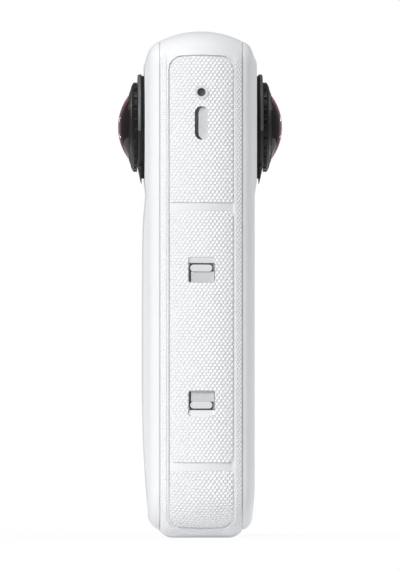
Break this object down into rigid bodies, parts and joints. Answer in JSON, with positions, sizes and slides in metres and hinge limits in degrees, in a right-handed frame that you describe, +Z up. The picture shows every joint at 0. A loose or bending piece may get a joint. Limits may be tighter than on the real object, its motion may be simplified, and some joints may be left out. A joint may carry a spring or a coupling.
{
  "type": "360 degree camera",
  "caption": "Slim upright camera with a domed fisheye lens on each broad face, slide-out battery with two latches, touch screen, port door and tripod thread.",
  "frame": {"origin": "centre of the flat base, on the surface that the camera stands on", "axes": "+Z up along the body, -X towards the battery side, -Y towards the touch screen, +Y towards the plain back"},
  "size_m": [0.046, 0.037, 0.1138],
  "materials": {
    "white_shell": "satin moulded, very slightly cool white",
    "white_pad": "satin moulded, with a fine raised lattice",
    "white_latch": "smooth satin",
    "grey_button": "smooth satin",
    "black_plastic": "fine satin black",
    "black_metal": "flat black anodised",
    "coated_glass": "polished, with a magenta and amber coating",
    "cover_glass": "polished black glass",
    "display": "dark panel",
    "light_pipe": "frosted clear",
    "rubber": "matte",
    "steel": "stamped or turned",
    "brass": "plated",
    "circuit_board": "solder resist",
    "aluminium": "brushed",
    "sensor": "coated sensor glass",
    "cell_wrap": "dark wrap over an aluminium can",
    "dark_mesh": "woven mesh"
  },
  "bodies": {
    "camera": {"antenna": "brass", "back_cover": "white_shell", "back_side_lens_barrel": "black_metal", "back_side_lens_bezel": "black_plastic", "battery_bay": "black_plastic", "bay_contacts": "brass", "button_switches": "steel", "cover_gaskets": "rubber", "display_panel": "display", "heat_spreader": "aluminium", "image_sensors": "sensor", "inner_lenses": "coated_glass", "lower_right_pad": "white_pad", "lower_side_pad": "white_pad", "main_board": "circuit_board", "memory_card": "black_plastic", "memory_card_socket": "steel", "microphone_capsule": "black_plastic", "microphone_mesh": "dark_mesh", "microphone_ring": "white_latch", "mid_frame": "white_shell", "mount_plate": "steel", "screen_cover": "white_shell", "screen_side_lens_barrel": "black_metal", "screen_side_lens_bezel": "black_plastic", "sensor_boards": "circuit_board", "side_button_board": "circuit_board", "small_screws": "steel", "speaker": "black_plastic", "speaker_grille": "white_latch", "status_light": "light_pipe", "touch_screen_glass": "cover_glass", "tripod_insert": "brass", "upper_right_pad": "white_pad", "upper_side_pad": "white_pad", "usb_board": "circuit_board", "usb_hinge_pin": "steel", "usb_socket": "steel"},
    "battery": {"battery_cover": "white_pad", "battery_case": "black_plastic", "battery_cell": "cell_wrap", "battery_seal": "rubber", "battery_contacts": "brass", "upper_latch_spring": "steel", "lower_latch_spring": "steel"},
    "upper_latch": {"upper_latch": "white_latch"},
    "lower_latch": {"lower_latch": "white_latch"},
    "screen_side_lens": {"screen_side_lens_ring": "black_plastic", "screen_side_lens_dome": "coated_glass", "screen_side_lens_seal": "rubber"},
    "back_side_lens": {"back_side_lens_ring": "black_plastic", "back_side_lens_dome": "coated_glass", "back_side_lens_seal": "rubber"},
    "shutter_button": {"shutter_button": "grey_button"},
    "mode_button": {"mode_button": "grey_button"},
    "power_button": {"power_button": "grey_button"},
    "quick_button": {"quick_button": "grey_button"},
    "usb_door": {"usb_door": "white_pad", "usb_door_seal": "rubber"}
  },
  "joints": [
    {"name": "battery_slide", "type": "slide", "parent": "camera", "child": "battery", "axis": [-1, 0, 0], "range_m": [0, 0.034]},
    {"name": "upper_latch_slide", "type": "slide", "parent": "battery", "child": "upper_latch", "axis": [0, 0, -1], "range_m": [0, 0.002], "stiffness_N_per_m": 200, "deforming": ["upper_latch_spring"]},
    {"name": "lower_latch_slide", "type": "slide", "parent": "battery", "child": "lower_latch", "axis": [0, 0, 1], "range_m": [0, 0.002], "stiffness_N_per_m": 200, "deforming": ["lower_latch_spring"]},
    {"name": "screen_side_lens_twist", "type": "hinge", "parent": "camera", "child": "screen_side_lens", "pos_m": [0, -0.0142, 0.0924], "axis": [0, -1, 0], "range_deg": [0, 20]},
    {"name": "back_side_lens_twist", "type": "hinge", "parent": "camera", "child": "back_side_lens", "pos_m": [0, 0.0142, 0.0924], "axis": [0, 1, 0], "range_deg": [0, 20]},
    {"name": "shutter_press", "type": "slide", "parent": "camera", "child": "shutter_button", "axis": [0, 1, 0], "range_m": [0, 0.0004], "stiffness_N_per_m": 900},
    {"name": "mode_press", "type": "slide", "parent": "camera", "child": "mode_button", "axis": [0, 1, 0], "range_m": [0, 0.0004], "stiffness_N_per_m": 900},
    {"name": "power_press", "type": "slide", "parent": "camera", "child": "power_button", "axis": [-1, 0, 0], "range_m": [0, 0.0004], "stiffness_N_per_m": 900},
    {"name": "quick_press", "type": "slide", "parent": "camera", "child": "quick_button", "axis": [-1, 0, 0], "range_m": [0, 0.0004], "stiffness_N_per_m": 900},
    {"name": "usb_door_hinge", "type": "hinge", "parent": "camera", "child": "usb_door", "pos_m": [0.0216, 0, 0.0201], "axis": [0, 1, 0], "range_deg": [0, 95]}
  ]
}
